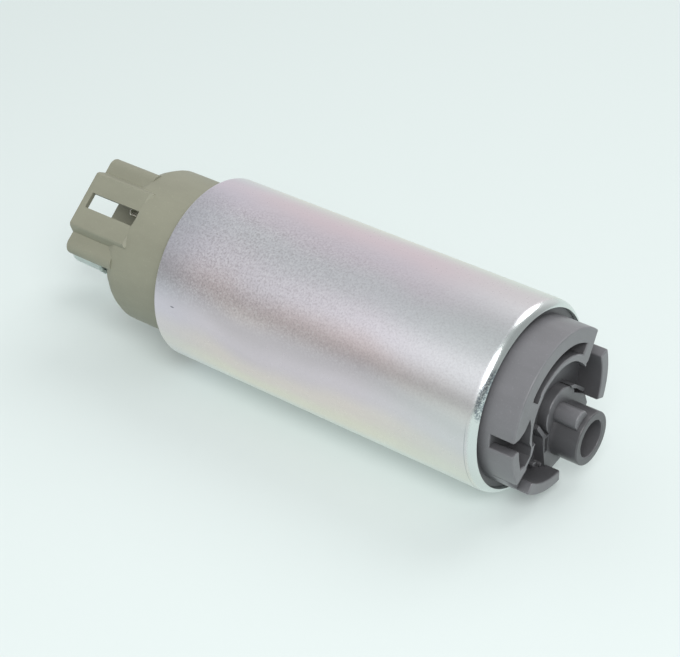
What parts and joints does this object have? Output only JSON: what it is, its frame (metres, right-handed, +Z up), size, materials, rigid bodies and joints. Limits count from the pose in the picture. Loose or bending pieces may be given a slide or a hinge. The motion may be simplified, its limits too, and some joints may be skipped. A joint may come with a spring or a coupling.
{
  "type": "electric fuel pump",
  "caption": "Electric in-tank fuel pump: a plated steel barrel with a dark inlet cover and an olive outlet cover carrying a plug socket and a capped outlet nozzle.",
  "frame": {"origin": "on the pump's axis, at the middle of the steel barrel's length", "axes": "+X along the pump's axis towards the inlet nozzle, +Z up with the pump lying on its side as pictured, +Y to the far side by the right-hand rule"},
  "size_m": [0.1237, 0.038, 0.038],
  "materials": {
    "plated_steel": "zinc plated, faintly iridescent",
    "dark_polymer": "moulded, satin",
    "olive_polymer": "moulded, satin",
    "clear_cap": "soft, see-through",
    "pump_polymer": "moulded, fine",
    "sintered_bronze": "sintered",
    "ground_steel": "ground",
    "lamination_steel": "stacked sheet",
    "enamelled_copper": "enamelled wire",
    "carbon": "pressed, slightly shiny",
    "ferrite": "ground ferrite",
    "spring_steel": "drawn",
    "tinned_brass": "tinned",
    "brass_fitting": "turned",
    "pale_polymer": "moulded"
  },
  "bodies": {
    "pump_body": {"housing_shell": "plated_steel", "inlet_cover": "dark_polymer", "pump_casing": "pump_polymer", "lower_bearing": "sintered_bronze", "upper_bearing": "sintered_bronze", "magnet_a": "ferrite", "magnet_b": "ferrite", "magnet_springs": "spring_steel", "outlet_cover": "olive_polymer", "terminal_positive": "tinned_brass", "terminal_negative": "tinned_brass", "valve_seat": "brass_fitting", "brush_spring_a": "spring_steel", "brush_spring_b": "spring_steel", "check_valve_spring": "spring_steel"},
    "rotor": {"rotor_shaft": "ground_steel", "armature_core": "lamination_steel", "armature_winding": "enamelled_copper", "commutator": "carbon", "impeller": "pump_polymer"},
    "brush_a_body": {"brush_a": "carbon"},
    "brush_b_body": {"brush_b": "carbon"},
    "check_valve_body": {"check_valve": "pale_polymer"},
    "dust_cap_body": {"outlet_dust_cap": "clear_cap"}
  },
  "joints": [
    {"name": "rotor_spin", "type": "hinge", "parent": "pump_body", "child": "rotor", "pos_m": [0, 0, 0], "axis": [1, 0, 0], "continuous": true},
    {"name": "brush_a_slide", "type": "slide", "parent": "pump_body", "child": "brush_a_body", "axis": [-1, 0, 0], "range_m": [0, 0.003], "stiffness_N_per_m": 150, "springref_m": -0.004, "deforming": ["brush_spring_a"]},
    {"name": "brush_b_slide", "type": "slide", "parent": "pump_body", "child": "brush_b_body", "axis": [-1, 0, 0], "range_m": [0, 0.003], "stiffness_N_per_m": 150, "springref_m": -0.004, "deforming": ["brush_spring_b"]},
    {"name": "check_valve_lift", "type": "slide", "parent": "pump_body", "child": "check_valve_body", "axis": [-1, 0, 0], "range_m": [0, 0.0025], "stiffness_N_per_m": 60, "springref_m": -0.002, "deforming": ["check_valve_spring"]},
    {"name": "dust_cap_pull", "type": "slide", "parent": "pump_body", "child": "dust_cap_body", "axis": [-1, 0, 0], "range_m": [0, 0.012]}
  ]
}
